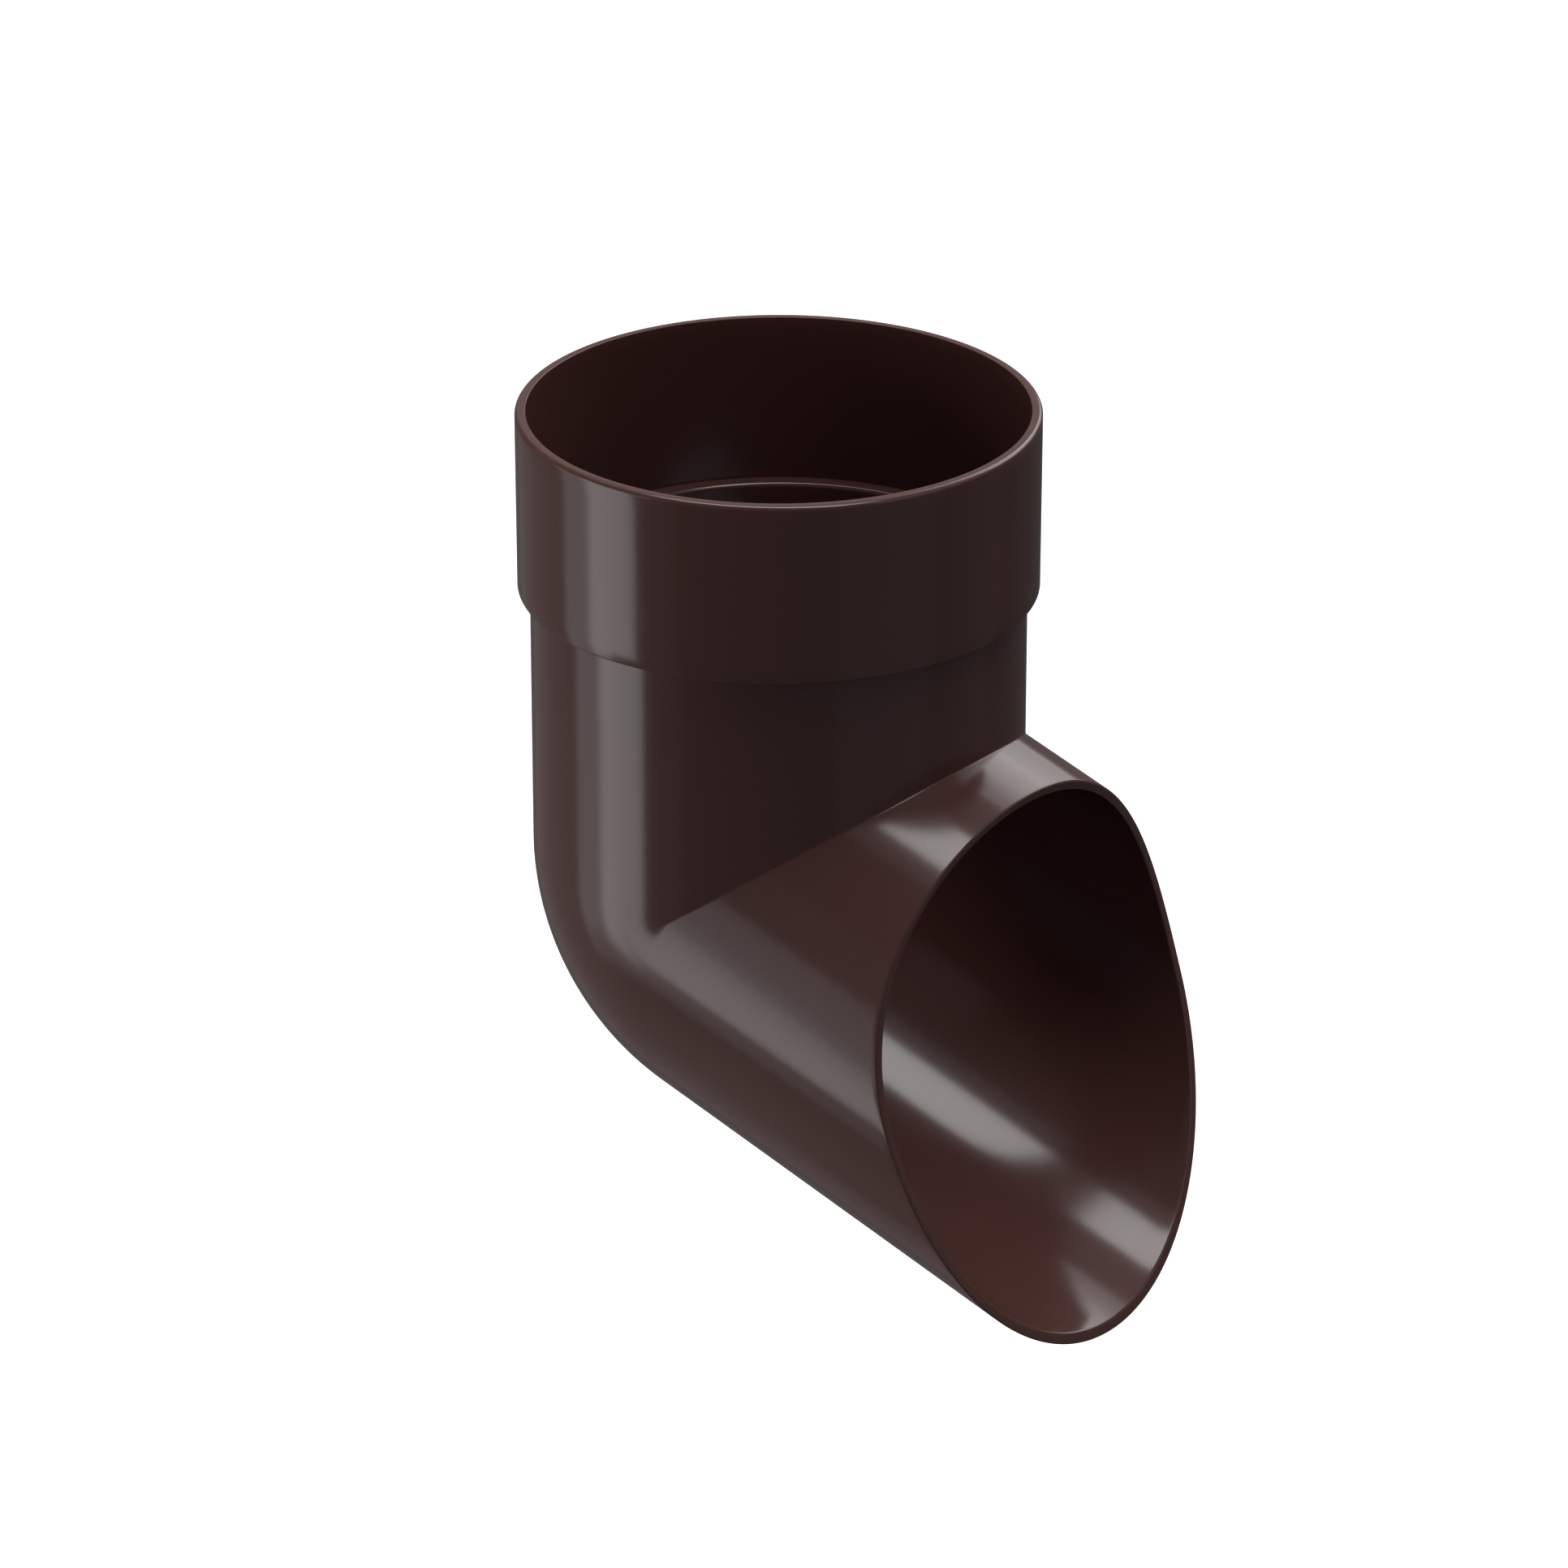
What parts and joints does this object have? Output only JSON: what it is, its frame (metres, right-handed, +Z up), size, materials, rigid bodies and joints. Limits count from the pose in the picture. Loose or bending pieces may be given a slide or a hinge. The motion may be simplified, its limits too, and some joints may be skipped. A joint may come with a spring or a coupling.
{
  "type": "downpipe shoe",
  "caption": "One-piece round downpipe shoe: a socket for the pipe, a short body, a close bend and a falling outlet cut at a slant to throw rainwater clear of the wall.",
  "frame": {"origin": "on the downpipe's axis, on the seat inside the socket that the pipe's end rests on", "axes": "+Z up the downpipe out of the socket's mouth, +X level, the way the outlet throws the water, +Y across the shoe, which is its own mirror image in the XZ plane"},
  "size_m": [0.138, 0.1052, 0.1799],
  "materials": {
    "brown_plastic": "smooth semi-gloss moulded PVC, dark chocolate brown"
  },
  "bodies": {
    "root": {"shoe": "brown_plastic"}
  },
  "joints": []
}
